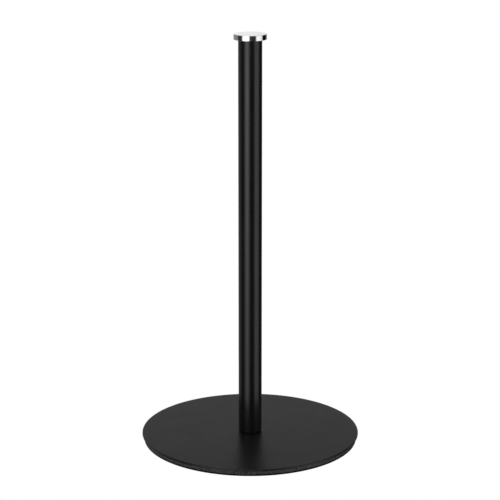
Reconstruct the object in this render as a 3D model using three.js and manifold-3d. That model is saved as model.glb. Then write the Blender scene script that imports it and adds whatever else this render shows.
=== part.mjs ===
// A free-standing paper towel holder: a thin round steel base on a hidden ballast disc and a non-slip pad,
// a plain tube that the roll slides over, and a flat chrome cap. Millimetres, +Z up, with the origin at the
// centre of the pad's underside, which is the face that stands on the worktop.
//
// It comes apart without tools. A countersunk screw, locked by a toothed washer and a thin nut, is a fixed
// stud in the base, and the pole spins down onto it. The cap spins into the top of the pole on a set screw.
// Both threads are modelled as plain cylinders at the thread's outer diameter.
import * as THREE from "three";
import { mergeVertices } from "three/addons/utils/BufferGeometryUtils.js";
import Module from "manifold-3d";

// ---- Driving dimensions ----
const OVERALL_HEIGHT = 338;

const PLATE_DIAMETER = 180;
const PLATE_THICKNESS = 1.5;
const PLATE_TOP_FILLET = 0.6;
const PLATE_BOTTOM_FILLET = 0.3;

const BALLAST_THICKNESS = 3;
const BALLAST_INSET = 1.3; // from the plate's edge to the ballast's
const BALLAST_CHAMFER = 0.3;

const PAD_THICKNESS = 1.5;
const PAD_INSET = 0.3; // from the ballast's edge to the pad's
const PAD_HOLE_DIAMETER = 24; // gives a key access to the base screw
const PAD_EDGE_FILLET = 0.3;

const TUBE_DIAMETER = 19.2; // 3/4 in tube, over its paint
const TUBE_WALL = 1;
const TUBE_END_CHAMFER = 0.2;

const CAP_DIAMETER = 26.5;
const CAP_THICKNESS = 4.3;
const CAP_TOP_FILLET = 0.2;
const CAP_BOTTOM_FILLET = 0.25;
const SPIGOT_LENGTH = 5; // the cap's boss that centres it in the tube
const SPIGOT_CHAMFER = 0.6;
const CAP_BORE_DEPTH = 6.5;

const WASHER_THICKNESS = 0.4; // between the cap and the tube
const WASHER_INSET = 0.2; // in from the tube's wall
const RING_THICKNESS = 0.8; // between the tube and the base plate
const RING_INSET = 0.5;
const RING_LIP_HEIGHT = 2; // the ring's lip holds it in the tube's end
const RING_LIP_WALL = 1.2;

const THREAD_DIAMETER = 5;
const SCREW_LENGTH = 20; // over the head, as a countersunk screw is measured
const SCREW_HEAD_DIAMETER = 10;
const SCREW_HEAD_LAND = 0.3; // the head's short straight edge, below its 45 degree cone
const SCREW_SOCKET_FLATS = 3;
const SCREW_SOCKET_DEPTH = 1.9;
const SET_SCREW_LENGTH = 16;
const SET_SCREW_SOCKET_FLATS = 2.5;
const SET_SCREW_SOCKET_DEPTH = 2.5;
const SCREW_TIP_CHAMFER = 0.6;

const LOCK_WASHER_DIAMETER = 10;
const LOCK_WASHER_THICKNESS = 0.6;
const LOCK_WASHER_TEETH = 10;
const LOCK_WASHER_TOOTH_LENGTH = 1.2;
const LOCK_WASHER_TOOTH_SHARE = 0.55; // the part of each tooth's pitch that is tooth and not gap
const NUT_FLATS = 8;
const NUT_THICKNESS = 2.7;
const NUT_CORNER_BEVEL = 0.35; // how far the bevel comes down at a corner

const INSERT_LENGTH = 12;
const INSERT_CHAMFER = 0.5;
const INSERT_GROOVES = 2;
const INSERT_GROOVE_WIDTH = 1.2;
const INSERT_GROOVE_DEPTH = 0.4;
const THREAD_LEAD_IN = 0.5; // the chamfer at the mouth of a threaded bore

// ---- Clearances ----
const PRESS_GAP = 0.05; // round a pressed insert
const SLIP_GAP = 0.1; // round what slips in by hand
const SPIGOT_GAP = 0.15; // round the cap's spigot
const HEAD_GAP = 0.15; // round the base screw's head
const HOLE_GAP = 0.25; // round the base screw's shank, in the plate and the ballast
const LOCK_WASHER_GAP = 0.15; // round the base screw's shank, in the lock washer
const THREAD_GAP = 0.1; // between a thread's two outer diameters
const END_GAP = 0.8; // end clearance, so that the seats meet first

// ---- Fineness ----
const DISC_SIDES = 72;
const CAP_SIDES = 48;
const TUBE_SIDES = 36;
const SCREW_SIDES = 18;
const ARC_STEPS = 3;
const OVERSHOOT = 1; // how far a cutting tool runs past a face

// ---- Levels that follow, from the worktop up ----
const padTop = PAD_THICKNESS;
const ballastTop = padTop + BALLAST_THICKNESS;
const plateTop = ballastTop + PLATE_THICKNESS;
const lockWasherTop = plateTop + LOCK_WASHER_THICKNESS;
const nutTop = lockWasherTop + NUT_THICKNESS;
const tubeBottom = plateTop + RING_THICKNESS;
const lowerInsertBottom = Math.max(nutTop, tubeBottom + RING_LIP_HEIGHT) + END_GAP;
const capBottom = OVERALL_HEIGHT - CAP_THICKNESS;
const tubeTop = capBottom - WASHER_THICKNESS;
const spigotBottom = capBottom - SPIGOT_LENGTH;
const upperInsertTop = spigotBottom - END_GAP;
const setScrewTop = spigotBottom + CAP_BORE_DEPTH - SLIP_GAP;

// ---- Radii that follow ----
const plateRadius = PLATE_DIAMETER / 2;
const ballastRadius = plateRadius - BALLAST_INSET;
const padRadius = ballastRadius - PAD_INSET;
const tubeRadius = TUBE_DIAMETER / 2;
const tubeBoreRadius = tubeRadius - TUBE_WALL;
const screwRadius = THREAD_DIAMETER / 2;
const threadedBoreRadius = screwRadius + THREAD_GAP;
const screwHoleRadius = screwRadius + HOLE_GAP;
const headRadius = SCREW_HEAD_DIAMETER / 2;
const spigotRadius = tubeBoreRadius - SPIGOT_GAP;

// ---- Materials ----
const finish = (color, roughness, metalness) =>
  new THREE.MeshStandardMaterial({ color, roughness, metalness });
const satinBlack = finish(0x101010, 0.38, 0.1);
const blackIron = finish(0x17181a, 0.7, 0.2);
const padFoam = finish(0x0b0b0c, 0.95, 0);
const chrome = finish(0xe6e8ea, 0.05, 1);
const zincSteel = finish(0xb4b8ba, 0.35, 1);
const brass = finish(0xb08d4a, 0.35, 1);
const blackNylon = finish(0x08080a, 0.6, 0);

// ---- Solids ----
const wasm = await Module();
wasm.setup();

// A closed geometry as a solid that can be cut and joined.
function toSolid(geometry) {
  const bare = new THREE.BufferGeometry();
  bare.setAttribute("position", geometry.getAttribute("position"));
  bare.setIndex(geometry.index);
  const merged = mergeVertices(bare, 1e-4);
  return new wasm.Manifold(
    new wasm.Mesh({
      numProp: 3,
      vertProperties: merged.attributes.position.array,
      triVerts: new Uint32Array(merged.index.array),
    }),
  );
}

function toGeometry(solid) {
  const mesh = solid.getMesh();
  const geometry = new THREE.BufferGeometry();
  geometry.setAttribute("position", new THREE.BufferAttribute(mesh.vertProperties, 3));
  geometry.setIndex(new THREE.BufferAttribute(mesh.triVerts, 1));
  geometry.computeVertexNormals();
  return geometry;
}

// Points of an outline whose corners are [radius, height] or [radius, height, fillet]. It closes on itself.
function filleted(corners) {
  const points = [];
  corners.forEach(([r, z, fillet = 0], i) => {
    const corner = new THREE.Vector2(r, z);
    if (!fillet) {
      points.push(corner);
      return;
    }
    const before = corners[(i + corners.length - 1) % corners.length];
    const after = corners[(i + 1) % corners.length];
    const start = new THREE.Vector2(before[0] - r, before[1] - z).setLength(fillet).add(corner);
    const end = new THREE.Vector2(after[0] - r, after[1] - z).setLength(fillet).add(corner);
    points.push(...new THREE.QuadraticBezierCurve(start, corner, end).getPoints(ARC_STEPS));
  });
  return points;
}

// A body turned about +Z from an outline that runs anticlockwise, radius to the right and height up.
function turned(corners, sides) {
  const points = filleted(corners);
  points.push(points[0].clone());
  return new THREE.LatheGeometry(points, sides).rotateX(Math.PI / 2);
}

// An upright prism of a flat shape.
const prism = (shape, bottom, height) =>
  new THREE.ExtrudeGeometry(shape, { depth: height, bevelEnabled: false }).translate(0, 0, bottom);

// A regular hexagon, given across its flats.
function hexagon(flats) {
  const corner = flats / Math.sqrt(3);
  const points = Array.from({ length: 6 }, (_, i) => {
    const angle = (i * Math.PI) / 3;
    return new THREE.Vector2(corner * Math.cos(angle), corner * Math.sin(angle));
  });
  return new THREE.Shape(points);
}

// A turned body with a hexagon socket sunk into its bottom end.
function withSocket(body, bottom, flats, depth) {
  const socket = prism(hexagon(flats), bottom - OVERSHOOT, depth + OVERSHOOT);
  return toGeometry(toSolid(body).subtract(toSolid(socket)));
}

// ---- Base ----
// The base screw's hole between two levels, from the top down. Its countersink is the head's own outline,
// set off by the clearance, and it runs on into the plate if the ballast is thinner than the head.
function screwHole(low, high) {
  const mouth = headRadius + HEAD_GAP;
  const coneStart = padTop + SCREW_HEAD_LAND;
  const coneEnd = coneStart + mouth - screwHoleRadius;
  const radiusAt = (z) => THREE.MathUtils.clamp(mouth + coneStart - z, screwHoleRadius, mouth);
  const corners = [coneEnd, coneStart].filter((z) => z > low && z < high);
  return [high, ...corners, low].map((z) => [radiusAt(z), z]);
}

function basePlate() {
  return turned(
    [
      [plateRadius, ballastTop, PLATE_BOTTOM_FILLET],
      [plateRadius, plateTop, PLATE_TOP_FILLET],
      ...screwHole(ballastTop, plateTop),
    ],
    DISC_SIDES,
  );
}

function ballastDisc() {
  return turned(
    [
      [ballastRadius - BALLAST_CHAMFER, padTop],
      [ballastRadius, padTop + BALLAST_CHAMFER],
      [ballastRadius, ballastTop],
      ...screwHole(padTop, ballastTop),
    ],
    DISC_SIDES,
  );
}

function nonSlipPad() {
  const hole = PAD_HOLE_DIAMETER / 2;
  return turned(
    [
      [hole, 0, PAD_EDGE_FILLET],
      [padRadius, 0, PAD_EDGE_FILLET],
      [padRadius, padTop],
      [hole, padTop],
    ],
    DISC_SIDES,
  );
}

function baseScrew() {
  const tip = padTop + SCREW_LENGTH;
  const body = turned(
    [
      [0, padTop],
      [headRadius, padTop],
      [headRadius, padTop + SCREW_HEAD_LAND],
      [screwRadius, padTop + SCREW_HEAD_LAND + headRadius - screwRadius],
      [screwRadius, tip - SCREW_TIP_CHAMFER],
      [screwRadius - SCREW_TIP_CHAMFER, tip],
      [0, tip],
    ],
    SCREW_SIDES,
  );
  return withSocket(body, padTop, SCREW_SOCKET_FLATS, SCREW_SOCKET_DEPTH);
}

// A flat ring with square teeth round its outside.
function lockWasher() {
  const tip = LOCK_WASHER_DIAMETER / 2;
  const root = tip - LOCK_WASHER_TOOTH_LENGTH;
  const pitch = (2 * Math.PI) / LOCK_WASHER_TEETH;
  const outline = [];
  for (let tooth = 0; tooth < LOCK_WASHER_TEETH; tooth++) {
    const half = (pitch * LOCK_WASHER_TOOTH_SHARE) / 2;
    const middle = tooth * pitch;
    for (const [radius, angle] of [
      [root, middle - half],
      [tip, middle - half],
      [tip, middle + half],
      [root, middle + half],
    ])
      outline.push(new THREE.Vector2(radius * Math.cos(angle), radius * Math.sin(angle)));
  }
  const ring = new THREE.Shape(outline);
  const hole = new THREE.Path().absarc(0, 0, screwRadius + LOCK_WASHER_GAP, 0, 2 * Math.PI, true);
  ring.holes.push(new THREE.Path(hole.getPoints(SCREW_SIDES)));
  return prism(ring, plateTop, LOCK_WASHER_THICKNESS);
}

// A hexagon prism whose corners are bevelled off by a turned envelope, with a threaded bore.
function thinNut() {
  const corner = NUT_FLATS / Math.sqrt(3);
  const bevel = corner - NUT_FLATS / 2;
  const envelope = turned(
    [
      [threadedBoreRadius + THREAD_LEAD_IN, lockWasherTop],
      [corner - bevel, lockWasherTop],
      [corner, lockWasherTop + NUT_CORNER_BEVEL],
      [corner, nutTop - NUT_CORNER_BEVEL],
      [corner - bevel, nutTop],
      [threadedBoreRadius + THREAD_LEAD_IN, nutTop],
      [threadedBoreRadius, nutTop - THREAD_LEAD_IN],
      [threadedBoreRadius, lockWasherTop + THREAD_LEAD_IN],
    ],
    TUBE_SIDES,
  );
  const block = prism(hexagon(NUT_FLATS), lockWasherTop - OVERSHOOT, NUT_THICKNESS + 2 * OVERSHOOT);
  return toGeometry(toSolid(envelope).intersect(toSolid(block)));
}

// ---- Pole ----
// An L-section ring: its flange keeps the tube's end off the base's paint, and its lip grips the bore.
function footRing() {
  const lipOuter = tubeBoreRadius - SLIP_GAP;
  const lipInner = lipOuter - RING_LIP_WALL;
  return turned(
    [
      [lipInner, plateTop],
      [tubeRadius - RING_INSET, plateTop],
      [tubeRadius - RING_INSET, tubeBottom],
      [lipOuter, tubeBottom],
      [lipOuter, tubeBottom + RING_LIP_HEIGHT],
      [lipInner, tubeBottom + RING_LIP_HEIGHT],
    ],
    TUBE_SIDES,
  );
}

function poleTube() {
  return turned(
    [
      [tubeBoreRadius + TUBE_END_CHAMFER, tubeBottom],
      [tubeRadius - TUBE_END_CHAMFER, tubeBottom],
      [tubeRadius, tubeBottom + TUBE_END_CHAMFER],
      [tubeRadius, tubeTop - TUBE_END_CHAMFER],
      [tubeRadius - TUBE_END_CHAMFER, tubeTop],
      [tubeBoreRadius + TUBE_END_CHAMFER, tubeTop],
      [tubeBoreRadius, tubeTop - TUBE_END_CHAMFER],
      [tubeBoreRadius, tubeBottom + TUBE_END_CHAMFER],
    ],
    TUBE_SIDES,
  );
}

// A threaded plug that is pressed into the tube. The tube's wall is crimped into its grooves.
function threadedInsert(bottom) {
  const outer = tubeBoreRadius - PRESS_GAP;
  const top = bottom + INSERT_LENGTH;
  const grooves = [];
  for (let i = 1; i <= INSERT_GROOVES; i++) {
    const middle = bottom + (i * INSERT_LENGTH) / (INSERT_GROOVES + 1);
    const low = middle - INSERT_GROOVE_WIDTH / 2;
    const high = middle + INSERT_GROOVE_WIDTH / 2;
    const floor = outer - INSERT_GROOVE_DEPTH;
    grooves.push([outer, low], [floor, low], [floor, high], [outer, high]);
  }
  return turned(
    [
      [threadedBoreRadius + THREAD_LEAD_IN, bottom],
      [outer - INSERT_CHAMFER, bottom],
      [outer, bottom + INSERT_CHAMFER],
      ...grooves,
      [outer, top - INSERT_CHAMFER],
      [outer - INSERT_CHAMFER, top],
      [threadedBoreRadius + THREAD_LEAD_IN, top],
      [threadedBoreRadius, top - THREAD_LEAD_IN],
      [threadedBoreRadius, bottom + THREAD_LEAD_IN],
    ],
    TUBE_SIDES,
  );
}

// ---- Cap ----
function capWasher() {
  return turned(
    [
      [spigotRadius + SLIP_GAP, tubeTop],
      [tubeRadius - WASHER_INSET, tubeTop],
      [tubeRadius - WASHER_INSET, capBottom],
      [spigotRadius + SLIP_GAP, capBottom],
    ],
    TUBE_SIDES,
  );
}

function chromeCap() {
  const capRadius = CAP_DIAMETER / 2;
  const boreTop = spigotBottom + CAP_BORE_DEPTH;
  return turned(
    [
      [threadedBoreRadius + THREAD_LEAD_IN, spigotBottom],
      [spigotRadius - SPIGOT_CHAMFER, spigotBottom],
      [spigotRadius, spigotBottom + SPIGOT_CHAMFER],
      [spigotRadius, capBottom],
      [capRadius, capBottom, CAP_BOTTOM_FILLET],
      [capRadius, OVERALL_HEIGHT, CAP_TOP_FILLET],
      [0, OVERALL_HEIGHT],
      [0, boreTop],
      [threadedBoreRadius, boreTop],
      [threadedBoreRadius, spigotBottom + THREAD_LEAD_IN],
    ],
    CAP_SIDES,
  );
}

function setScrew() {
  const bottom = setScrewTop - SET_SCREW_LENGTH;
  const body = turned(
    [
      [0, bottom],
      [screwRadius - SCREW_TIP_CHAMFER, bottom],
      [screwRadius, bottom + SCREW_TIP_CHAMFER],
      [screwRadius, setScrewTop - SCREW_TIP_CHAMFER],
      [screwRadius - SCREW_TIP_CHAMFER, setScrewTop],
      [0, setScrewTop],
    ],
    SCREW_SIDES,
  );
  return withSocket(body, bottom, SET_SCREW_SOCKET_FLATS, SET_SCREW_SOCKET_DEPTH);
}

// ---- Assembly ----
function piece(name, geometry, material) {
  const mesh = new THREE.Mesh(geometry, material);
  mesh.name = name;
  return mesh;
}

const base = new THREE.Group();
base.add(
  piece("base_plate", basePlate(), satinBlack),
  piece("ballast_disc", ballastDisc(), blackIron),
  piece("non_slip_pad", nonSlipPad(), padFoam),
  piece("base_screw", baseScrew(), zincSteel),
  piece("lock_washer", lockWasher(), zincSteel),
  piece("thin_nut", thinNut(), zincSteel),
);

const pole = new THREE.Group();
pole.add(
  piece("foot_ring", footRing(), blackNylon),
  piece("pole_tube", poleTube(), satinBlack),
  piece("lower_insert", threadedInsert(lowerInsertBottom), brass),
  piece("upper_insert", threadedInsert(upperInsertTop - INSERT_LENGTH), brass),
);

const cap = new THREE.Group();
cap.add(
  piece("cap_washer", capWasher(), blackNylon),
  piece("chrome_cap", chromeCap(), chrome),
  piece("cap_set_screw", setScrew(), zincSteel),
);

const holder = new THREE.Group();
holder.add(base, pole, cap);

export default holder;
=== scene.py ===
"""A free-standing paper towel holder: a thin black base, an upright tube and a flat chrome cap.

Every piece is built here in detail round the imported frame, and stands for the plain solid of the same name.
Outlines are in millimetres in the frame's own axes: radius from the pole's axis, and height above the floor.
"""

import math

import bpy
import numpy as np
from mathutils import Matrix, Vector, noise

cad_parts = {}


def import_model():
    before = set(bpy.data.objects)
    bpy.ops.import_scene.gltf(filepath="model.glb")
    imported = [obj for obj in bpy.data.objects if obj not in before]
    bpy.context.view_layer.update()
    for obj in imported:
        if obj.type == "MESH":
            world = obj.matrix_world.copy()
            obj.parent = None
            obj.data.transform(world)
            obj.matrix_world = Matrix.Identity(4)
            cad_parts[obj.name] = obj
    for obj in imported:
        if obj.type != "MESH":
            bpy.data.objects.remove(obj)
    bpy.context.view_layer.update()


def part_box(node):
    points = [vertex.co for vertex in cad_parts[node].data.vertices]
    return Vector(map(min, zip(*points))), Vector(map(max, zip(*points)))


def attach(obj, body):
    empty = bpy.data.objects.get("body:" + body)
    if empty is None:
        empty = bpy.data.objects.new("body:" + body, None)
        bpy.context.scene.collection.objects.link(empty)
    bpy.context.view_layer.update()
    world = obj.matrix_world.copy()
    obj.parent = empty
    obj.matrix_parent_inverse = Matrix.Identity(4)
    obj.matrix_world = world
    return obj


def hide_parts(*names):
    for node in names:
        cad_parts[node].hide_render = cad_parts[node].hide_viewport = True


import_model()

MM = 0.001
TAU = 2 * math.pi

# ---- Sizes that the pieces' boxes don't give ----
PLATE_TOP_FILLET = 0.6
PLATE_BOTTOM_FILLET = 0.3
PLATE_HOLE_TOP_FILLET = 0.25
PLATE_HOLE_BOTTOM_FILLET = 0.1
SCREW_HOLE_RADIUS = 2.75  # in the plate and the ballast

COUNTERSINK_RADIUS = 5.15
BALLAST_BOTTOM_BEVEL = 0.3
BALLAST_TOP_BEVEL = 0.05
CAST_DEPTH = 0.1  # of the unevenness that casting leaves
CAST_RIM_MOST = 0.25
CAST_UNDERSIDE_MOST = 0.1

PAD_HOLE_RADIUS = 12.0
PAD_EDGE_FILLET = 0.35
PAD_HOLE_FILLET = 0.3
PAD_TOP_FILLET = 0.05
PAD_BORDER = 0.5  # the band at each edge that follows the cut
PAD_EDGE_WANDER = 0.06
PAD_HOLLOW_DEPTH = 0.05

TUBE_WALL = 1.0
TUBE_END_FILLET = 0.25
TUBE_BORE_FILLET = 0.15

RING_LIP_GAP = 0.1  # round the foot ring's lip, in the tube's bore
RING_LIP_WALL = 1.2
RING_LIP_FILLET = 0.2
RING_BORE_FILLET = 0.1
RING_BOTTOM_FILLET = 0.15
RING_FLANGE_FILLET = 0.12

INSERT_CHAMFER = 0.5
INSERT_GROOVES = 2
INSERT_GROOVE_WIDTH = 1.2
INSERT_GROOVE_DEPTH = 0.4
INSERT_LEAD_IN = 0.55
KNURL_TEETH = 48
KNURL_DEPTH = 0.18

WASHER_BORE_GAP = 0.1  # round the cap's spigot
WASHER_BORE_FILLET = 0.06
WASHER_EDGE_FILLET = 0.12

CAP_TOP_FILLET = 0.2
CAP_BOTTOM_FILLET = 0.25
CAP_BORE_DEPTH = 6.5
CAP_LEAD_IN = 0.5
SPIGOT_GAP = 0.15  # round the spigot, in the tube's bore
SPIGOT_LENGTH = 5.0
SPIGOT_CHAMFER = 0.6
SPIGOT_END_FILLET = 0.1
SPIGOT_SIDE_FILLET = 0.2

# ---- M5 fasteners ----
THREAD_RADIUS = 2.5
THREAD_PITCH = 0.8
THREAD_DEPTH = 0.49
THREAD_GAP = 0.1  # between the outer diameters of a screw's thread and a bore's

HEAD_LAND = 0.3  # the base screw's head has this short straight edge below its 45 degree cone
HEAD_FILLET = 0.08
NECK_UNDERCUT = 0.25  # of the plain neck between the head and the thread
NECK_LENGTH = 0.9
NECK_FILLET = 0.3
THREAD_RUN_IN = 0.4  # from the head's cone to the thread's first turn
BASE_SCREW_TIP_RADIUS = 1.9
SET_SCREW_TIP_RADIUS = 1.95
BASE_SOCKET_FLATS = 3.0
BASE_SOCKET_DEPTH = 1.9
SET_SOCKET_FLATS = 2.5
SET_SOCKET_DEPTH = 2.5
SOCKET_BEVEL = 0.12
DRILL_OVERLAP = 0.2  # the drilled point starts this far down inside the socket

LOCK_WASHER_GAP = 0.15  # round the screw
LOCK_WASHER_SHEET = 0.42
LOCK_WASHER_TEETH = 10
TOOTH_LENGTH = 1.15
TOOTH_INSET = 0.02
TOOTH_TWIST = 6  # degrees

NUT_FACE_INSET = 0.1  # from the flats to the round face
NUT_BEVEL_PAST = (0.2, 0.17)  # how far the bevel runs on past a corner, outwards and along the nut
NUT_LEAD_IN = 0.35

# ---- Fineness ----
ARC_STEPS = 7
GUARD = 0.08  # a ring of points this far from each fillet keeps the flat beside it flat
THREAD_STEPS = 28  # round one turn
PLATE_SIDES = 320
BALLAST_SIDES = 720
BALLAST_RIM_ROWS = 9
BALLAST_HOLE_RINGS = 14
PAD_SIDES = 360
PAD_RINGS = 40
TUBE_SIDES = 160
TUBE_ROW_LENGTH = 16
INSERT_SIDES = 4 * KNURL_TEETH
CAP_SIDES = 240
NUT_SIDES = 96
HEAD_SIDES = 72
SCREW_SIDES = 48
SOCKET_SIDES = 36
TOOTH_STEPS = 16  # round one tooth and the gap beside it
TOOTH_WIDE = 9  # of them, in the tooth
TOOTH_ROWS = 5  # along a tooth
BAND_ROWS = 3  # over the lock washer's plain band
OVERSHOOT = 1.0  # how far a cutting body runs past a face
NEAR = 0.01  # a point this near a face is on it


def node_levels(node):
    """A node's outer radius, lowest and highest level, in millimetres."""
    low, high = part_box(node)
    return high.x / MM, low.z / MM, high.z / MM


def spigot_radius():
    """The cap's spigot fits in the tube's bore."""
    return node_levels("pole_tube")[0] - TUBE_WALL - SPIGOT_GAP


# ---- Meshes ----
def mesh_object(name, points, faces):
    """An object from points in millimetres."""
    mesh = bpy.data.meshes.new(name)
    mesh.from_pydata((np.asarray(points, float) * MM).tolist(), [], faces)
    mesh.validate()
    piece = bpy.data.objects.new(name, mesh)
    bpy.context.scene.collection.objects.link(piece)
    return piece


def rounded(corners):
    """The closed outline of [radius, height] or [radius, height, fillet] corners, with true arcs."""
    outline = []
    for i, corner in enumerate(corners):
        here = np.array(corner[:2], float)
        fillet = corner[2] if len(corner) > 2 else 0
        if not fillet:
            outline.append(here)
            continue
        before = np.array(corners[i - 1][:2], float) - here
        after = np.array(corners[(i + 1) % len(corners)][:2], float) - here
        reach = [np.linalg.norm(before), np.linalg.norm(after)]
        before, after = before / reach[0], after / reach[1]
        half = math.acos(np.clip(before @ after, -1, 1)) / 2
        tangent = fillet / math.tan(half)
        inward = (before + after) / np.linalg.norm(before + after)
        centre = here + inward * fillet / math.sin(half)
        start = here + before * tangent - centre
        end = here + after * tangent - centre
        sweep = math.atan2(start[0] * end[1] - start[1] * end[0], start @ end)
        if tangent + 2 * GUARD < reach[0]:
            outline.append(here + before * (tangent + GUARD))
        for step in range(ARC_STEPS + 1):
            turn = sweep * step / ARC_STEPS
            c, s = math.cos(turn), math.sin(turn)
            outline.append(centre + (c * start[0] - s * start[1], s * start[0] + c * start[1]))
        if tangent + 2 * GUARD < reach[1]:
            outline.append(here + after * (tangent + GUARD))
    return np.array(outline)


def turned(name, outline, sides, shape=None):
    """A body turned about the pole's axis from a closed outline that runs anticlockwise.

    shape, where given, moves the points: it takes arrays of radius, height and angle, and returns the new
    radius and height.
    """
    outline = np.asarray(outline, float)
    angle = np.arange(sides)[:, None] * TAU / sides
    radius = np.repeat(outline[None, :, 0], sides, 0)
    height = np.repeat(outline[None, :, 1], sides, 0)
    if shape:
        radius, height = shape(radius, height, np.broadcast_to(angle, radius.shape))
    points = np.stack([radius * np.cos(angle), radius * np.sin(angle), height], -1)
    rows = len(outline)
    on_axis = outline[:, 0] == 0
    index = np.arange(sides * rows).reshape(sides, rows)
    index[:, on_axis] = index[0, on_axis]
    faces = []
    for i in range(sides):
        for j in range(rows):
            k = (j + 1) % rows
            if on_axis[j] and on_axis[k]:
                continue
            corners = [index[i, j], index[(i + 1) % sides, j], index[(i + 1) % sides, k], index[i, k]]
            faces.append(list(dict.fromkeys(int(c) for c in corners)))
    piece = mesh_object(name, points.reshape(-1, 3), faces)
    drop_loose(piece)
    return piece


def drop_loose(piece):
    """Deletes the points that no face uses."""
    mesh = piece.data
    used = np.zeros(len(mesh.vertices), bool)
    for polygon in mesh.polygons:
        used[list(polygon.vertices)] = True
    if used.all():
        return
    new_index = np.cumsum(used) - 1
    points = [mesh.vertices[int(i)].co[:] for i in np.flatnonzero(used)]
    faces = [[int(new_index[v]) for v in polygon.vertices] for polygon in mesh.polygons]
    mesh.clear_geometry()
    mesh.from_pydata(points, [], faces)


def surface_noise(radius, height, angle, grain, seed):
    """Smooth noise over points of a turned body, between about -1 and 1, with grains this many mm across."""
    x, y = radius * np.cos(angle), radius * np.sin(angle)
    flat = zip(x.ravel() / grain, y.ravel() / grain, height.ravel() / grain)
    return np.array([noise.noise(Vector((a + seed, b, c))) for a, b, c in flat]).reshape(radius.shape)


def thread_rod(name, low, high, grow=0.0):
    """A threaded rod, right-handed, grown outwards by a clearance. It runs a turn past both levels."""
    low, high = low - THREAD_PITCH, high + THREAD_PITCH
    crest, root = THREAD_RADIUS + grow, THREAD_RADIUS - THREAD_DEPTH + grow
    # One pitch, as shares of it: the crest's flat is an eighth, the root's a quarter.
    profile = [(0.0, crest), (0.125, crest), (0.4375, root), (0.6875, root)]
    phase = math.floor(low / THREAD_PITCH)
    turns = math.ceil(high / THREAD_PITCH) - phase + 1
    per_turn = len(profile)
    rows = turns * per_turn + 1
    points, faces = [], []
    for i in range(THREAD_STEPS):
        angle = TAU * i / THREAD_STEPS
        for j in range(rows):
            share, radius = profile[j % per_turn]
            z = (phase + j // per_turn + share + i / THREAD_STEPS - 1) * THREAD_PITCH
            points.append((radius * math.cos(angle), radius * math.sin(angle), z))

    def number(i, j):
        """A point's number. Past the last step, a row goes on as the row one pitch up."""
        if i == THREAD_STEPS:
            i, j = 0, j + per_turn
        return i * rows + j

    last = rows - 1 - per_turn
    for i in range(THREAD_STEPS):
        for j in range(last):
            faces.append([number(i, j), number(i + 1, j), number(i + 1, j + 1), number(i, j + 1)])
    for j, upward in ((0, False), (last, True)):
        rim = [number(i, j) for i in range(THREAD_STEPS)]
        rim += [number(0, j + step) for step in range(per_turn, 0, -1)]
        points.append((0, 0, np.mean([points[v][2] for v in rim])))
        centre = len(points) - 1
        for a, b in zip(rim, rim[1:] + rim[:1]):
            faces.append([a, b, centre] if upward else [b, a, centre])
    piece = mesh_object(name, points, faces)
    drop_loose(piece)
    return piece


def hexagon_outline(flats, low, high):
    """The half section of a hexagon prism turned in six sides."""
    corner = flats / math.sqrt(3)
    return [(0, low), (corner, low), (corner, high), (0, high)]


def bake_modifiers(piece):
    """Applies a piece's modifiers to its mesh."""
    bpy.context.view_layer.update()
    made = piece.evaluated_get(bpy.context.evaluated_depsgraph_get())
    mesh = bpy.data.meshes.new_from_object(made)
    piece.modifiers.clear()
    piece.data = mesh
    mesh.name = piece.name


def combine(piece, tool, operation):
    """Cuts the tool from the piece, joins it on or keeps what they share. The tool is used up."""
    modifier = piece.modifiers.new("combine", "BOOLEAN")
    modifier.operation = operation
    modifier.solver = "EXACT"
    modifier.object = tool
    bake_modifiers(piece)
    bpy.data.objects.remove(tool)
    return piece


def bevel_mouth(piece, radius, level, way, sides):
    """Bevels a hole's mouth at 45 degrees. way is 1 for a hole that goes up from its mouth, and -1 down."""
    outside = level - way * OVERSHOOT
    cone = [(0, outside), (radius + OVERSHOOT, outside), (radius, level), (0, level + way * radius)]
    return combine(piece, turned("mouth", cone[::way], sides), "DIFFERENCE")


def socket_cut(piece, bottom, flats, depth):
    """Sinks a hexagon socket with a drilled point and a bevelled mouth into a screw's bottom end."""
    end = bottom + depth
    combine(piece, turned("socket", hexagon_outline(flats, bottom - OVERSHOOT, end), 6), "DIFFERENCE")
    start = end - DRILL_OVERLAP
    tip = end + flats / 2 * math.tan(math.radians(30))
    point = [(0, start), (flats / 2, start), (flats / 2, end), (0, tip)]
    combine(piece, turned("point", point, SOCKET_SIDES), "DIFFERENCE")
    return bevel_mouth(piece, flats / math.sqrt(3) + SOCKET_BEVEL, bottom, 1, SOCKET_SIDES)


def tapped(piece, low, high, lead_in):
    """Cuts a threaded bore right through a piece, with both its mouths bevelled."""
    combine(piece, thread_rod("thread", low, high, THREAD_GAP), "DIFFERENCE")
    bevel_mouth(piece, THREAD_RADIUS + lead_in, low, 1, SCREW_SIDES)
    return bevel_mouth(piece, THREAD_RADIUS + lead_in, high, -1, SCREW_SIDES)


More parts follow.
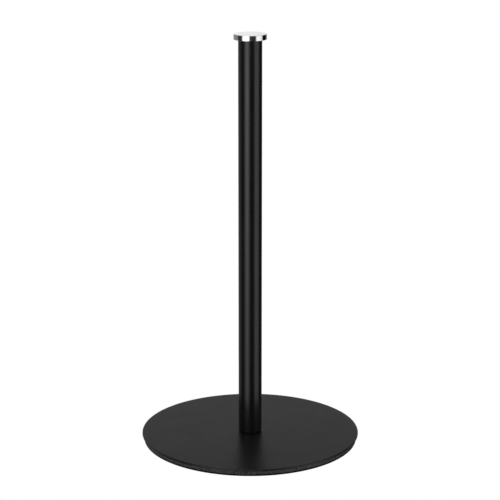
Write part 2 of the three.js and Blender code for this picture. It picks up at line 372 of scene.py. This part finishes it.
# ---- Node trees ----
class Graph:
    """Short calls that add nodes to a material's or the world's tree."""

    def __init__(self, owner):
        owner.use_nodes = True
        self.nodes = owner.node_tree.nodes
        self.links = owner.node_tree.links

    def add(self, kind, **settings):
        made = self.nodes.new(kind)
        for key, value in settings.items():
            setattr(made, key, value)
        return made

    def put(self, socket, value):
        """Links an output to a socket, or sets the socket to a number or a colour."""
        if isinstance(value, bpy.types.NodeSocket):
            self.links.new(value, socket)
        else:
            socket.default_value = value

    def math(self, operation, a, b=0.0):
        made = self.add("ShaderNodeMath", operation=operation)
        self.put(made.inputs[0], a)
        self.put(made.inputs[1], b)
        return made.outputs[0]

    def product(self, *values):
        made = values[0]
        for value in values[1:]:
            made = self.math("MULTIPLY", made, value)
        return made

    def total(self, *values):
        made = values[0]
        for value in values[1:]:
            made = self.math("ADD", made, value)
        return made

    def scaled(self, vector, scale):
        """A vector, each part of it times that part of the scale."""
        made = self.add("ShaderNodeVectorMath", operation="MULTIPLY")
        self.put(made.inputs[0], vector)
        self.put(made.inputs[1], scale)
        return made.outputs["Vector"]

    def parts(self, vector):
        made = self.add("ShaderNodeSeparateXYZ")
        self.put(made.inputs[0], vector)
        return made.outputs

    def level(self, value, low, high, to_low=0.0, to_high=1.0, smooth=False):
        """Carries the range low to high over to another, and holds its ends outside it."""
        made = self.add("ShaderNodeMapRange", interpolation_type="SMOOTHSTEP" if smooth else "LINEAR")
        for socket, number in zip(made.inputs, (value, low, high, to_low, to_high)):
            self.put(socket, number)
        return made.outputs[0]


class Look(Graph):
    """A procedural material. Its patterns lie in the piece's own space, in millimetres."""

    def __init__(self, name, **constants):
        self.material = bpy.data.materials.new(name)
        super().__init__(self.material)
        self.shader = next(n for n in self.nodes if n.type == "BSDF_PRINCIPLED")
        for socket, value in constants.items():
            self.shader.inputs[socket.replace("_", " ")].default_value = value
        self.place = self.scaled(self.add("ShaderNodeTexCoord").outputs["Object"], [1 / MM] * 3)
        self.normal = None

    def radius(self):
        """Distance from the pole's axis."""
        x, y, _ = self.parts(self.place)
        return self.math("SQRT", self.total(self.product(x, x), self.product(y, y)))

    def height(self):
        return self.parts(self.place)[2]

    def grain(self, size, detail=2, rough=0.5, stretch=(1, 1, 1)):
        """Noise from 0 to 1, most of it in USUAL, whose lumps are about this many millimetres across."""
        made = self.add("ShaderNodeTexNoise")
        made.inputs["Scale"].default_value = 1.0
        made.inputs["Detail"].default_value = detail
        made.inputs["Roughness"].default_value = rough
        self.put(made.inputs["Vector"], self.scaled(self.place, [part / size for part in stretch]))
        return made.outputs[0]

    def rings(self, size):
        """Noise in rings round the pole's axis, about this many millimetres apart."""
        made = self.add("ShaderNodeTexNoise", noise_dimensions="1D")
        made.inputs["Scale"].default_value = 1.0
        self.put(made.inputs["W"], self.math("DIVIDE", self.radius(), size))
        return made.outputs[0]

    def cells(self, size):
        """Distance to the nearest of scattered points about this many millimetres apart, in that unit."""
        made = self.add("ShaderNodeTexVoronoi")
        made.inputs["Scale"].default_value = 1.0
        self.put(made.inputs["Vector"], self.scaled(self.place, [1 / size] * 3))
        return made.outputs["Distance"]

    def blend(self, share, a, b):
        made = self.add("ShaderNodeMix", data_type="RGBA")
        self.put(made.inputs["Factor"], share)
        for socket, value in zip([s for s in made.inputs if s.type == "RGBA"], (a, b)):
            self.put(socket, value)
        return next(s for s in made.outputs if s.type == "RGBA")

    def bump(self, height, depth):
        """Raises the surface by up to depth millimetres, on top of any bump before."""
        made = self.add("ShaderNodeBump")
        made.inputs["Distance"].default_value = depth * MM
        self.put(made.inputs["Height"], height)
        if self.normal is not None:
            self.put(made.inputs["Normal"], self.normal)
        self.normal = made.outputs[0]
        self.put(self.shader.inputs["Normal"], self.normal)

    def color(self, value):
        self.put(self.shader.inputs["Base Color"], value)

    def roughness(self, value):
        self.put(self.shader.inputs["Roughness"], value)


# ---- Materials ----
USUAL = (0.3, 0.7)  # the range that most of a noise lies in
WHITE = (1, 1, 1, 1)


def grey(value):
    """A grey in linear light."""
    return (value, value, value, 1)


def powder_coat(look):
    """Satin black paint with a faint orange peel and a finer grain. Returns its uneven sheen."""
    look.color(look.blend(look.grain(30), grey(0.0022), grey(0.0032)))
    look.bump(look.grain(1.6, rough=0.4), 0.005)
    look.bump(look.grain(0.35), 0.003)
    broad = look.level(look.grain(22, detail=3), *USUAL, -0.02, 0.02)
    fine = look.level(look.grain(0.9), *USUAL, -0.02, 0.02)
    return look.total(broad, fine)


def plate_look():
    """The roll turns on the plate, and leaves faint rubbed rings between its core and its edge."""
    look = Look("satin_black_plate", IOR=1.5)
    sheen = powder_coat(look)
    radius = look.radius()
    past_core = look.level(radius, 18, 26, smooth=True)
    inside_edge = look.level(radius, 76, 60, smooth=True)
    patches = look.level(look.grain(28), 0.45, 0.7, smooth=True)
    rings = look.level(look.rings(1.4), 0.35, 0.65, -0.035, 0.01)
    rub = look.product(past_core, inside_edge, patches, rings)
    look.roughness(look.total(sheen, rub, 0.36))
    return look.material


def tube_look():
    """Rolls slide up and down the tube, and leave faint upright streaks."""
    look = Look("satin_black_tube", IOR=1.5)
    sheen = powder_coat(look)
    streaks = look.level(look.grain(1.4, stretch=(1, 1, 0.03)), 0.4, 0.7, 0.0, -0.03)
    patches = look.level(look.grain(60, detail=1), 0.4, 0.65, smooth=True)
    look.roughness(look.total(sheen, look.product(streaks, patches), 0.25))
    return look.material


def ballast_look():
    """Cast iron under a thin paint: lumpy and finely pitted, and smoother on its high points. Its colour
    holds painted shade and painted highlights that follow the relief: dark in the pits and paler on the high
    points.
    """
    look = Look("black_iron_paint", IOR=1.45)
    pits = look.grain(1.1, detail=3, rough=0.65)
    # Painted shade and highlight: the colour darkens where the relief sinks and pales where it rises,
    # standing in for light on the rough rim.
    look.color(look.blend(look.level(pits, 0.40, 0.62), grey(0.004), grey(0.06)))
    look.bump(look.grain(2.4), 0.12)
    look.bump(pits, 0.2)
    look.roughness(look.level(pits, *USUAL, 0.7, 0.42))
    return look.material


def pad_look():
    """Dull foam rubber with small open cells and a soft waviness."""
    look = Look("pad_foam", IOR=1.4, Specular_IOR_Level=0.3)
    cells = look.cells(0.55)
    look.color(look.blend(look.level(cells, 0.1, 0.6), grey(0.002), grey(0.006)))
    look.bump(look.level(cells, 0.0, 0.6), 0.05)
    look.bump(look.grain(6), 0.05)
    look.roughness(look.level(look.grain(3), *USUAL, 0.85, 0.98))
    return look.material


def nylon_look():
    """Matt moulded nylon with a fine grain."""
    look = Look("black_nylon", IOR=1.5, Specular_IOR_Level=0.2)
    look.color(look.blend(look.grain(4), grey(0.002), grey(0.003)))
    look.bump(look.grain(0.5), 0.008)
    look.roughness(look.level(look.grain(2, detail=3), *USUAL, 0.58, 0.72))
    return look.material


def zinc_look():
    """Bright zinc plate, with a cloudy cool tint and a fine grain."""
    look = Look("zinc_steel", Metallic=1.0)
    tint = look.level(look.grain(2.5), 0.35, 0.65, smooth=True)
    look.color(look.blend(tint, (0.60, 0.61, 0.62, 1), (0.52, 0.535, 0.56, 1)))
    look.bump(look.grain(0.4, detail=3, rough=0.6), 0.012)
    look.roughness(look.level(look.grain(0.8, detail=3), *USUAL, 0.26, 0.42))
    return look.material


def brass_look():
    """Turned brass, a little tarnished, with the tool's fine marks round it."""
    look = Look("insert_brass", Metallic=1.0)
    look.color(look.blend(look.grain(3, detail=3), (0.62, 0.44, 0.17, 1), (0.50, 0.34, 0.12, 1)))
    marks_apart = 0.12
    look.bump(look.math("SINE", look.product(look.height(), TAU / marks_apart)), 0.004)
    look.roughness(look.level(look.grain(1.5, detail=3), *USUAL, 0.28, 0.42))
    return look.material


def chrome_look():
    """Polished chrome, with faint smears and hairline scratches."""
    look = Look("cap_chrome", Metallic=1.0)
    smears = look.grain(7, detail=3, rough=0.55)
    look.color(look.blend(smears, (0.80, 0.81, 0.82, 1), (0.84, 0.845, 0.85, 1)))
    look.bump(look.grain(0.5, stretch=(1, 0.05, 1)), 0.0006)
    look.roughness(look.level(smears, 0.35, 0.7, 0.10, 0.14))
    return look.material


# ---- Base ----
def base_plate():
    """The thin round steel plate, with a rounded edge."""
    radius, low, high = node_levels("base_plate")
    outline = rounded([
        [radius, low, PLATE_BOTTOM_FILLET],
        [radius, high, PLATE_TOP_FILLET],
        [SCREW_HOLE_RADIUS, high, PLATE_HOLE_TOP_FILLET],
        [SCREW_HOLE_RADIUS, low, PLATE_HOLE_BOTTOM_FILLET],
    ])
    return turned("base_plate_detail", outline, PLATE_SIDES)


def ballast_disc():
    """The cast iron disc, countersunk for the screw. Its underside is fine only where the pad's hole is."""
    radius, low, high = node_levels("ballast_disc")
    cone_end = low + HEAD_LAND + COUNTERSINK_RADIUS - SCREW_HOLE_RADIUS
    shown = PAD_HOLE_RADIUS + 3  # a little more than the hole shows
    near_rim = radius - 2
    rim = np.linspace(low + BALLAST_BOTTOM_BEVEL, high - BALLAST_TOP_BEVEL, BALLAST_RIM_ROWS + 1)
    outline = [
        *[(r, low) for r in np.linspace(COUNTERSINK_RADIUS, shown, BALLAST_HOLE_RINGS)],
        (near_rim, low),
        (radius - BALLAST_BOTTOM_BEVEL, low),
        *[(radius, z) for z in rim],
        (radius - BALLAST_TOP_BEVEL, high),
        (SCREW_HOLE_RADIUS, high),
        (SCREW_HOLE_RADIUS, cone_end),
        (COUNTERSINK_RADIUS, low + HEAD_LAND),
    ]

    def cast(r, z, angle):
        """As cast, the rim and the underside are uneven. Both only shrink, so the disc keeps its size."""
        lumps = surface_noise(r, z, angle, grain=1.1, seed=3.0)
        lumps += 0.6 * surface_noise(r, z, angle, grain=0.5, seed=9.0)
        sunk = CAST_DEPTH * (0.8 + lumps)
        on_rim = (r > radius - NEAR) & (z < high - BALLAST_TOP_BEVEL - NEAR)
        off_edges = (r > COUNTERSINK_RADIUS + NEAR) & (r < radius - BALLAST_BOTTOM_BEVEL - NEAR)
        below = (z < low + NEAR) & off_edges
        inward = np.where(on_rim, np.clip(sunk, 0, CAST_RIM_MOST), 0)
        upward = np.where(below, np.clip(sunk / 2, 0, CAST_UNDERSIDE_MOST), 0)
        return r - inward, z + upward

    return turned("ballast_disc_detail", outline, BALLAST_SIDES, cast)


def non_slip_pad():
    """The foam ring that the holder stands on."""
    radius, low, high = node_levels("non_slip_pad")
    first, last = PAD_HOLE_RADIUS + 2 * PAD_BORDER, radius - 2 * PAD_BORDER
    outline = rounded([
        [PAD_HOLE_RADIUS, low, PAD_HOLE_FILLET],
        *[[r, low] for r in np.linspace(first, last, PAD_RINGS)],
        [radius, low, PAD_EDGE_FILLET],
        [radius, high, PAD_TOP_FILLET],
        [PAD_HOLE_RADIUS, high],
    ])

    def die_cut(r, z, angle):
        """A cut foam edge wanders a little, and the underside has shallow hollows."""
        level = np.zeros_like(z)
        wander = PAD_EDGE_WANDER * (1 + surface_noise(r, level, angle, grain=7.0, seed=5.0)) / 2
        inner = r < PAD_HOLE_RADIUS + PAD_BORDER
        outer = r > radius - PAD_BORDER
        hollow = PAD_HOLLOW_DEPTH * (1 + surface_noise(r, level, angle, grain=9.0, seed=1.0))
        hollow *= (z < low + NEAR) & ~inner & ~outer
        return r + wander * inner - wander * outer, z + hollow

    return turned("non_slip_pad_detail", outline, PAD_SIDES, die_cut)


def base_screw():
    """The countersunk screw that stands up through the base as a stud."""
    radius, low, high = node_levels("base_screw")
    cone_top = low + HEAD_LAND + radius - THREAD_RADIUS
    screw = thread_rod("base_screw_detail", cone_top, high)
    start = cone_top + THREAD_RUN_IN
    tip = BASE_SCREW_TIP_RADIUS
    outside = THREAD_RADIUS + OVERSHOOT
    chamfered = [(0, start), (outside, start), (outside, high - (outside - tip)), (tip, high), (0, high)]
    combine(screw, turned("envelope", chamfered, SCREW_SIDES), "INTERSECT")
    neck = THREAD_RADIUS - NECK_UNDERCUT
    head = rounded([
        [0, low],
        [radius, low, HEAD_FILLET],
        [radius, low + HEAD_LAND, HEAD_FILLET],
        [neck, cone_top + NECK_UNDERCUT, NECK_FILLET],
        [neck, cone_top + NECK_LENGTH],
        [0, cone_top + NECK_LENGTH],
    ])
    combine(screw, turned("head", head, HEAD_SIDES), "UNION")
    return socket_cut(screw, low, BASE_SOCKET_FLATS, BASE_SOCKET_DEPTH)


def lock_washer():
    """A spring-steel ring whose outer teeth are each twisted a little."""
    radius, low, high = node_levels("lock_washer")
    hole = THREAD_RADIUS + LOCK_WASHER_GAP
    root = radius - TOOTH_LENGTH
    tip = radius - TOOTH_INSET
    rows = [*np.linspace(hole, root, BAND_ROWS + 1), *np.linspace(root, tip, TOOTH_ROWS + 1)[1:]]
    steps = LOCK_WASHER_TEETH * TOOTH_STEPS
    points, number, faces = [], {}, []
    for i in range(steps):
        angle = TAU * i / steps
        column = i % TOOTH_STEPS
        from_middle = (column - (TOOTH_WIDE - 1) / 2) * TAU / steps
        for j, r in enumerate(rows):
            if r > root and column >= TOOTH_WIDE:
                continue
            share = np.clip((r - root) / (tip - root), 0, 1)
            lift = r * from_middle * math.tan(math.radians(TOOTH_TWIST)) * share
            number[i, j] = len(points)
            points.append((r * math.cos(angle), r * math.sin(angle), (low + high) / 2 + lift))
    for i in range(steps):
        k = (i + 1) % steps
        for j in range(len(rows) - 1):
            corners = [(i, j), (i, j + 1), (k, j + 1), (k, j)]
            if all(c in number for c in corners):
                faces.append([number[c] for c in corners])
    piece = mesh_object("lock_washer_detail", points, faces)
    modifier = piece.modifiers.new("thickness", "SOLIDIFY")
    modifier.thickness = LOCK_WASHER_SHEET * MM
    modifier.offset = 0
    bake_modifiers(piece)
    return piece


def thin_nut():
    """A hexagon nut whose corners are bevelled at about 30 degrees on both faces."""
    radius, low, high = node_levels("thin_nut")
    flats = radius * math.sqrt(3)
    nut = turned("thin_nut_detail", hexagon_outline(flats, low - OVERSHOOT, high + OVERSHOOT), 6)
    face = flats / 2 - NUT_FACE_INSET
    outside = radius + NUT_BEVEL_PAST[0]
    bevel = (radius - flats / 2) * math.tan(math.radians(30)) + NUT_BEVEL_PAST[1]
    envelope = [
        (0, low),
        (face, low),
        (outside, low + bevel),
        (outside, high - bevel),
        (face, high),
        (0, high),
    ]
    combine(nut, turned("envelope", envelope, NUT_SIDES), "INTERSECT")
    return tapped(nut, low, high, NUT_LEAD_IN)


# ---- Pole ----
def foot_ring():
    """A nylon ring: a flange between the tube and the plate, and a lip that holds it in the tube's bore."""
    radius, low, high = node_levels("foot_ring")
    tube_radius, flange_top, _ = node_levels("pole_tube")
    lip_outer = tube_radius - TUBE_WALL - RING_LIP_GAP
    lip_inner = lip_outer - RING_LIP_WALL
    outline = rounded([
        [lip_inner, low, RING_BORE_FILLET],
        [radius, low, RING_BOTTOM_FILLET],
        [radius, flange_top, RING_FLANGE_FILLET],
        [lip_outer, flange_top],
        [lip_outer, high, RING_LIP_FILLET],
        [lip_inner, high, RING_LIP_FILLET],
    ])
    return turned("foot_ring_detail", outline, TUBE_SIDES)


def pole_tube():
    """The plain upright tube. Rows up its long walls keep the quads short."""
    radius, low, high = node_levels("pole_tube")
    bore = radius - TUBE_WALL
    corners = rounded([
        [bore, low, TUBE_BORE_FILLET],
        [radius, low, TUBE_END_FILLET],
        [radius, high, TUBE_END_FILLET],
        [bore, high, TUBE_BORE_FILLET],
    ])
    outline = []
    for a, b in zip(corners, np.roll(corners, -1, 0)):
        rows = max(1, round(abs(b[1] - a[1]) / TUBE_ROW_LENGTH))
        outline += [a + (b - a) * i / rows for i in range(rows)]
    return turned("pole_tube_detail", outline, TUBE_SIDES)


def threaded_insert(node):
    """A knurled brass plug with crimping grooves and a tapped hole."""
    radius, low, high = node_levels(node)
    groove = radius - INSERT_GROOVE_DEPTH
    corners = [[0, low], [radius - INSERT_CHAMFER, low], [radius, low + INSERT_CHAMFER]]
    for i in range(1, INSERT_GROOVES + 1):
        middle = low + i * ((high - low) / (INSERT_GROOVES + 1))
        bottom, top = middle - INSERT_GROOVE_WIDTH / 2, middle + INSERT_GROOVE_WIDTH / 2
        corners += [[radius, bottom], [groove, bottom], [groove, top], [radius, top]]
    corners += [[radius, high - INSERT_CHAMFER], [radius - INSERT_CHAMFER, high], [0, high]]

    def knurl(r, z, angle):
        """Fine upright teeth on the lands between the grooves."""
        ridges = np.abs((angle * KNURL_TEETH / TAU) % 1 - 0.5) * 2
        return r - np.where(r > radius - NEAR, KNURL_DEPTH * ridges, 0), z

    return tapped(turned(node + "_detail", corners, INSERT_SIDES, knurl), low, high, INSERT_LEAD_IN)


# ---- Cap ----
def cap_washer():
    """The thin nylon washer between the cap and the tube's end."""
    radius, low, high = node_levels("cap_washer")
    bore = spigot_radius() + WASHER_BORE_GAP
    outline = rounded([
        [bore, low, WASHER_BORE_FILLET],
        [radius, low, WASHER_EDGE_FILLET],
        [radius, high, WASHER_EDGE_FILLET],
        [bore, high, WASHER_BORE_FILLET],
    ])
    return turned("cap_washer_detail", outline, TUBE_SIDES)


def chrome_cap():
    """The flat round cap, and under it the spigot that centres it in the tube and holds the set screw."""
    radius, low, high = node_levels("chrome_cap")
    spigot = spigot_radius()
    underside = low + SPIGOT_LENGTH
    bore = THREAD_RADIUS + THREAD_GAP
    bore_top = low + CAP_BORE_DEPTH
    outline = rounded([
        [bore + CAP_LEAD_IN, low],
        [spigot - SPIGOT_CHAMFER, low, SPIGOT_END_FILLET],
        [spigot, low + SPIGOT_CHAMFER, SPIGOT_SIDE_FILLET],
        [spigot, underside],
        [radius, underside, CAP_BOTTOM_FILLET],
        [radius, high, CAP_TOP_FILLET],
        [0, high],
        [0, bore_top],
        [bore, bore_top],
        [bore, low + CAP_LEAD_IN],
    ])
    return turned("chrome_cap_detail", outline, CAP_SIDES)


def cap_set_screw():
    """The headless screw fixed in the cap, chamfered at both ends."""
    low, high = node_levels("cap_set_screw")[1:]
    screw = thread_rod("cap_set_screw_detail", low, high)
    tip = SET_SCREW_TIP_RADIUS
    outside = tip + OVERSHOOT
    chamfered = [
        (0, low),
        (tip, low),
        (outside, low + OVERSHOOT),
        (outside, high - OVERSHOOT),
        (tip, high),
        (0, high),
    ]
    combine(screw, turned("envelope", chamfered, SCREW_SIDES), "INTERSECT")
    return socket_cut(screw, low, SET_SOCKET_FLATS, SET_SOCKET_DEPTH)


# ---- The pieces on their bodies ----
CREASE = 32  # degrees: an edge that turns more than this is left sharp
CREASE_WHEN_UNEVEN = 60


def finish_piece(piece, body, material, crease=CREASE):
    """Shades a piece, gives it its material, and hangs it on its body in place of its plain solid."""
    mesh = piece.data
    mesh.shade_smooth()
    mesh.set_sharp_from_angle(angle=math.radians(crease))
    mesh.materials.clear()
    mesh.materials.append(material)
    node = piece.name.removesuffix("_detail")
    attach(piece, body)
    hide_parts(node)


zinc, brass, nylon = zinc_look(), brass_look(), nylon_look()
finish_piece(base_plate(), "base", plate_look())
finish_piece(ballast_disc(), "base", ballast_look(), CREASE_WHEN_UNEVEN)
finish_piece(non_slip_pad(), "base", pad_look(), CREASE_WHEN_UNEVEN)
finish_piece(base_screw(), "base", zinc)
finish_piece(lock_washer(), "base", zinc)
finish_piece(thin_nut(), "base", zinc)
finish_piece(foot_ring(), "pole_seat", nylon)
finish_piece(pole_tube(), "pole", tube_look())
finish_piece(threaded_insert("lower_insert"), "pole", brass)
finish_piece(threaded_insert("upper_insert"), "pole", brass)
finish_piece(cap_washer(), "cap_seat", nylon)
finish_piece(chrome_cap(), "cap", chrome_look())
finish_piece(cap_set_screw(), "cap", zinc)


# ---- Studio ----
CAMERA_DISTANCE = 1.4013  # metres in front of the pole
CAMERA_HEIGHT = 0.5334  # metres
CAMERA_PITCH = 14.866  # degrees down
LENS = 128.16  # mm, on a frame SENSOR_WIDTH wide
SENSOR_WIDTH = 36
FRAME_SHIFT = -0.00036  # of the frame's width
VIEW_DEPTH = 50  # metres

FLOOR_RADIUS = 9.0  # metres
FLOOR_SIDES = 96
FLOOR_GAP = 0.05  # mm under the pad

# The sky's directions are in degrees, and a strength of 1 is the white of the floor and the background.
PANEL_BLUR = 2  # to each side of a panel's upright edges
PANEL_TOP = (22, 34)  # a panel fades out upwards over this range
PANEL_TURN = (2, 14)  # and before that it turns to its upper strength over this one
RING_MIDDLE = 8.0  # the panels leave a gap for the ring of light at this elevation
RING_GAP = (4, 8)  # above and below that
RING_START = (3, 5)


def camera():
    data = bpy.data.cameras.new("camera")
    data.lens = LENS
    data.sensor_width = SENSOR_WIDTH
    data.shift_x = FRAME_SHIFT
    data.clip_end = VIEW_DEPTH
    made = bpy.data.objects.new("camera", data)
    made.location = (0, -CAMERA_DISTANCE, CAMERA_HEIGHT)
    made.rotation_euler = (math.radians(90 - CAMERA_PITCH), 0, 0)
    bpy.context.scene.collection.objects.link(made)
    bpy.context.scene.camera = made


def floor():
    """A plain white light table. Nothing mirrors it, and it is clear from below, so the underside shows."""
    angles = [TAU * i / FLOOR_SIDES for i in range(FLOOR_SIDES)]
    rim = [(FLOOR_RADIUS / MM * math.cos(a), FLOOR_RADIUS / MM * math.sin(a), -FLOOR_GAP) for a in angles]
    made = mesh_object("floor", rim, [list(range(FLOOR_SIDES))])
    look = Look("floor_white", Roughness=0.9, Specular_IOR_Level=0.0)
    look.shader.inputs["Emission Color"].default_value = WHITE
    look.shader.inputs["Emission Strength"].default_value = 1.0
    look.color(grey(0.0))
    from_below = look.add("ShaderNodeMixShader")
    look.put(from_below.inputs["Fac"], look.add("ShaderNodeNewGeometry").outputs["Backfacing"])
    look.put(from_below.inputs[1], look.shader.outputs["BSDF"])
    look.put(from_below.inputs[2], look.add("ShaderNodeBsdfTransparent").outputs["BSDF"])
    output = next(n for n in look.nodes if n.type == "OUTPUT_MATERIAL")
    look.put(output.inputs["Surface"], from_below.outputs["Shader"])
    made.data.materials.append(look.material)
    made.visible_glossy = False
    made.visible_shadow = False


class Sky(Graph):
    """The world's light by direction: azimuth is 0 towards the camera and 90 to the right."""

    def __init__(self, owner):
        super().__init__(owner)
        x, y, z = self.parts(self.add("ShaderNodeTexCoord").outputs["Generated"])
        self.azimuth = self.math("DEGREES", self.math("ARCTAN2", x, self.product(y, -1.0)))
        self.elevation = self.math("DEGREES", self.math("ARCSINE", z))
        self.from_back = self.math("SUBTRACT", 180.0, self.math("ABSOLUTE", self.azimuth))

    def panel(self, left, brightest, right, peak, edge, fade, above):
        """A tall soft light between two azimuths, from a peak on one upright line to its edges' strength.

        It fades out downwards over a range of elevations, and above the horizon it turns to a share of its
        strength.
        """
        rise = self.level(self.azimuth, left, brightest, edge, peak, smooth=True)
        fall = self.level(self.azimuth, brightest, right, peak, edge, smooth=True)
        from_left = self.level(self.azimuth, left - PANEL_BLUR, left + PANEL_BLUR)
        to_right = self.level(self.azimuth, right - PANEL_BLUR, right + PANEL_BLUR, 1, 0)
        upright = self.product(
            self.level(self.elevation, *fade),
            self.level(self.elevation, *PANEL_TOP, 1, 0, smooth=True),
            self.level(self.elevation, *PANEL_TURN, 1, above),
        )
        from_ring = self.math("ABSOLUTE", self.math("SUBTRACT", self.elevation, RING_MIDDLE))
        gap = self.level(from_ring, *RING_GAP)
        return self.product(self.math("MINIMUM", rise, fall), from_left, to_right, upright, gap)

    def back_panel(self, strength):
        """A narrow light straight behind, below the horizon."""
        across = self.level(self.from_back, 4, 16, strength, 0, smooth=True)
        bottom = self.level(self.elevation, -31, -3)
        top = self.level(self.elevation, 0, 4, 1, 0)
        return self.product(across, bottom, top)

    def back_fill(self, strength):
        """A wide light behind, below the horizon."""
        across = self.level(self.from_back, 40, 52, strength, 0, smooth=True)
        return self.product(across, self.level(self.elevation, -1, 1, 1, 0))

    def ring(self, glow, haze, rest):
        """A low ring of light all round: a glow, and a haze that fades upwards to the rest of the sky."""
        low = self.level(self.elevation, 9, 18, glow, 0, smooth=True)
        high = self.level(self.elevation, 9, 27, haze, rest)
        return self.product(self.level(self.elevation, *RING_START), self.total(low, high))

    def left_wall(self, strength):
        """A wall at the left, a little to the back, up to the ring."""
        back_end = self.level(self.azimuth, -145, -138)
        front_end = self.level(self.azimuth, -100, -87, strength, 0)
        return self.product(back_end, front_end, self.level(self.elevation, *RING_START, 1, 0))

    def ceiling(self, strength):
        return self.level(self.elevation, 40, 62, 0, strength, smooth=True)

    def fill(self, strength):
        """Light from the front and the left."""
        return self.level(self.azimuth, 20, 60, strength, 0)


def world():
    """A dark studio with two tall soft panels in front. Straight to the camera it is plain white."""
    made = bpy.data.worlds.new("studio")
    bpy.context.scene.world = made
    sky = Sky(made)
    light = sky.total(
        sky.fill(strength=0.03),
        sky.panel(left=-57, brightest=-30, right=-4, peak=3.0, edge=1.0, fade=(-31, -3), above=0.5),
        sky.panel(left=40, brightest=57, right=93, peak=1.2, edge=0.8, fade=(-60, -8), above=0.9),
        sky.back_panel(strength=2.0),
        sky.ring(glow=0.48, haze=0.44, rest=0.01),
        sky.back_fill(strength=0.15),
        sky.left_wall(strength=0.22),
        sky.ceiling(strength=0.6),
    )
    direct = sky.add("ShaderNodeLightPath").outputs["Is Camera Ray"]
    unseen = sky.product(light, sky.math("SUBTRACT", 1.0, direct))
    background = next(n for n in sky.nodes if n.type == "BACKGROUND")
    background.inputs["Color"].default_value = WHITE
    sky.put(background.inputs["Strength"], sky.total(unseen, direct))


camera()
floor()
world()
bpy.context.scene.view_settings.view_transform = "Standard"
